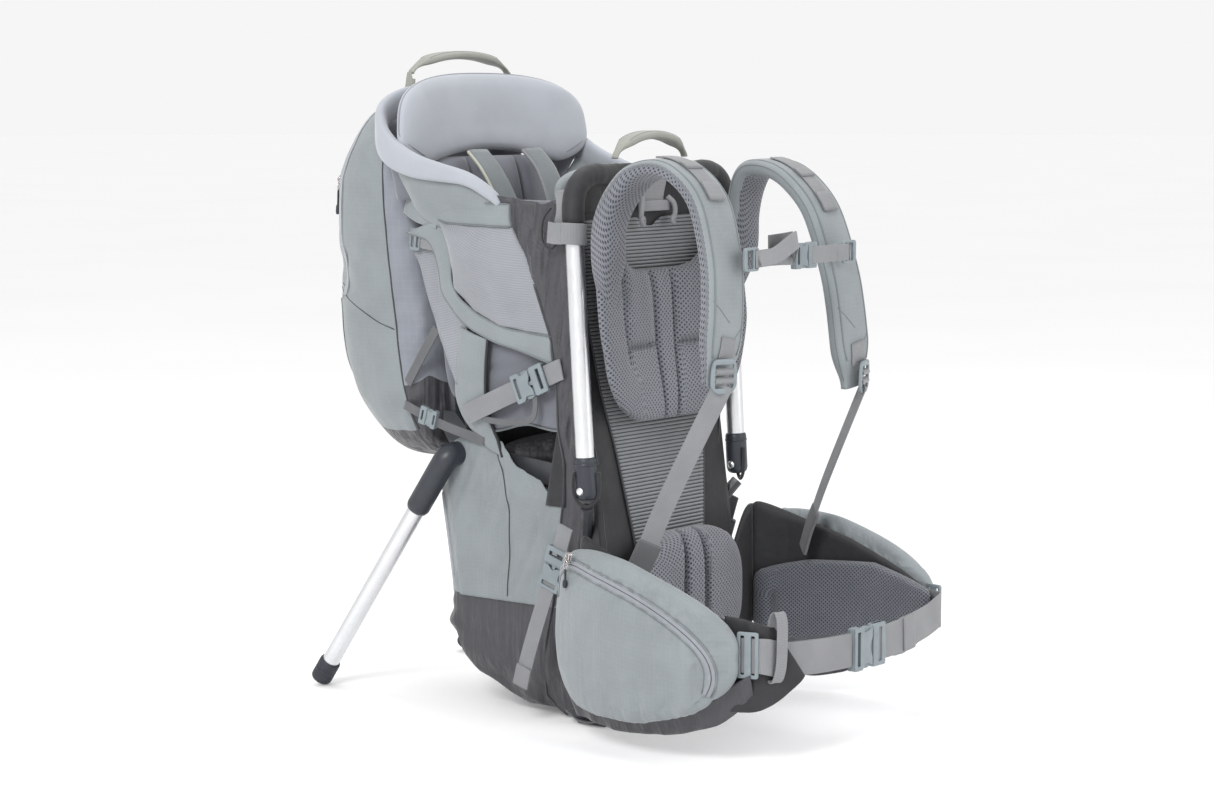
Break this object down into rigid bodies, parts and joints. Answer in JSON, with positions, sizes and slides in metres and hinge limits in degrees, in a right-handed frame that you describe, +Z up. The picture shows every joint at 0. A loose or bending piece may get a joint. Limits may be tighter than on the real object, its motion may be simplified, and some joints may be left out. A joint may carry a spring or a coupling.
{
  "type": "child carrier backpack",
  "caption": "Framed backpack that carries a seated child, with a folding kickstand, day pack, padded headrest, sliding shoulder harness and hip belt.",
  "frame": {"origin": "on the floor, in the flat underside of the base skid, midway between the uprights", "axes": "+Z up; -Y towards the wearer and the hip belt; +Y towards the day pack; +X to the wearer's left"},
  "size_m": [0.45, 0.7425, 0.771],
  "materials": {
    "shell_fabric": "woven polyester, soft sheen",
    "cushion_fabric": "brushed knit over foam",
    "charcoal_fabric": "satin ripstop",
    "black_fabric": "woven nylon",
    "air_mesh": "dimpled spacer mesh",
    "webbing": "ribbed webbing",
    "buckle_plastic": "moulded acetal",
    "aluminium_tube": "satin anodised",
    "dark_steel": "powder coated",
    "black_plastic": "moulded nylon",
    "foot_rubber": "matt",
    "zip_metal": "plated"
  },
  "bodies": {
    "frame": {"upper_frame_tube": "aluminium_tube", "upright_cap_left": "black_plastic", "upright_cap_right": "black_plastic", "lower_frame_tube": "dark_steel", "base_skid": "black_plastic", "kickstand_plate_left": "dark_steel", "kickstand_plate_right": "dark_steel", "rear_frame_hoop": "dark_steel", "back_panel": "black_fabric", "lumbar_pad": "air_mesh", "hip_belt_band": "black_fabric", "hip_wing_left": "air_mesh", "hip_wing_right": "air_mesh", "hip_pocket_left": "shell_fabric", "hip_pocket_right": "shell_fabric", "belt_webbing_left": "webbing", "belt_webbing_right": "webbing", "belt_buckle_female": "buckle_plastic", "lower_compartment": "shell_fabric", "side_wall_left": "charcoal_fabric", "side_wall_right": "charcoal_fabric", "side_pocket_left": "shell_fabric", "side_pocket_right": "shell_fabric", "cockpit_back": "cushion_fabric", "cockpit_rim": "cushion_fabric", "headrest_pad": "cushion_fabric", "drool_pad": "shell_fabric", "daypack_body": "shell_fabric", "compression_strap_left": "webbing", "compression_strap_right": "webbing", "lower_webbing_left": "webbing", "lower_webbing_right": "webbing"},
    "kickstand": {"kickstand_cross_tube": "aluminium_tube", "kickstand_elbow_left": "black_plastic", "kickstand_elbow_right": "black_plastic", "kickstand_leg_left": "aluminium_tube", "kickstand_leg_right": "aluminium_tube", "kickstand_foot_left": "foot_rubber", "kickstand_foot_right": "foot_rubber"},
    "child_seat": {"child_seat_pad": "black_fabric", "child_harness": "charcoal_fabric"},
    "yoke": {"yoke_back_pad": "air_mesh", "shoulder_strap_left": "shell_fabric", "shoulder_strap_right": "shell_fabric", "ladder_lock_left": "buckle_plastic", "ladder_lock_right": "buckle_plastic"},
    "sternum": {"sternum_strap_left": "webbing", "sternum_strap_right": "webbing", "sternum_buckle_female": "buckle_plastic"},
    "sternum_male": {"sternum_buckle_male": "buckle_plastic"},
    "belt_male": {"belt_buckle_male": "buckle_plastic"},
    "rear_handle": {"rear_haul_handle": "webbing"},
    "front_handle": {"front_haul_handle": "webbing"},
    "daypack_zip": {"daypack_zip_slider": "zip_metal"},
    "pocket_zip_left": {"pocket_zip_slider_left": "zip_metal"},
    "pocket_zip_right": {"pocket_zip_slider_right": "zip_metal"},
    "strap_left": {"side_strap_left": "webbing"},
    "strap_right": {"side_strap_right": "webbing"}
  },
  "joints": [
    {"name": "kickstand_fold", "type": "hinge", "parent": "frame", "child": "kickstand", "pos_m": [0, 0.207, 0.299], "axis": [1, 0, 0], "range_deg": [-74, 0]},
    {"name": "seat_height", "type": "slide", "parent": "frame", "child": "child_seat", "axis": [0, 0, 1], "range_m": [0, 0.06]},
    {"name": "yoke_height", "type": "slide", "parent": "frame", "child": "yoke", "axis": [0, 0, 1], "range_m": [-0.05, 0.03], "deforming": ["lower_webbing_left", "lower_webbing_right"]},
    {"name": "sternum_height", "type": "slide", "parent": "yoke", "child": "sternum", "axis": [0, 0.1104, 0.9939], "range_m": [-0.025, 0.025]},
    {"name": "sternum_buckle_release", "type": "slide", "parent": "sternum", "child": "sternum_male", "axis": [1, 0, 0], "range_m": [0, 0.022]},
    {"name": "belt_buckle_release", "type": "slide", "parent": "frame", "child": "belt_male", "axis": [1, 0, 0], "range_m": [0, 0.034]},
    {"name": "rear_handle_fold", "type": "hinge", "parent": "frame", "child": "rear_handle", "pos_m": [0, 0.302, 0.7415], "axis": [1, 0, 0], "range_deg": [-75, 15]},
    {"name": "front_handle_fold", "type": "hinge", "parent": "frame", "child": "front_handle", "pos_m": [0, 0.014, 0.645], "axis": [1, 0, 0], "range_deg": [-70, 70]},
    {"name": "daypack_zip_slide", "type": "slide", "parent": "frame", "child": "daypack_zip", "axis": [0, -0.0554, 0.9985], "range_m": [-0.1, 0.015]},
    {"name": "pocket_zip_slide_left", "type": "slide", "parent": "frame", "child": "pocket_zip_left", "axis": [0.218, -0.961, -0.17], "range_m": [0, 0.07]},
    {"name": "pocket_zip_slide_right", "type": "slide", "parent": "frame", "child": "pocket_zip_right", "axis": [-0.218, -0.961, -0.17], "range_m": [0, 0.07]},
    {"name": "side_strap_swing_left", "type": "hinge", "parent": "frame", "child": "strap_left", "pos_m": [0.16, 0.01, 0.236], "axis": [1, 0, 0], "range_deg": [-19, 30]},
    {"name": "side_strap_swing_right", "type": "hinge", "parent": "frame", "child": "strap_right", "pos_m": [-0.16, 0.01, 0.236], "axis": [1, 0, 0], "range_deg": [-19, 30]}
  ]
}
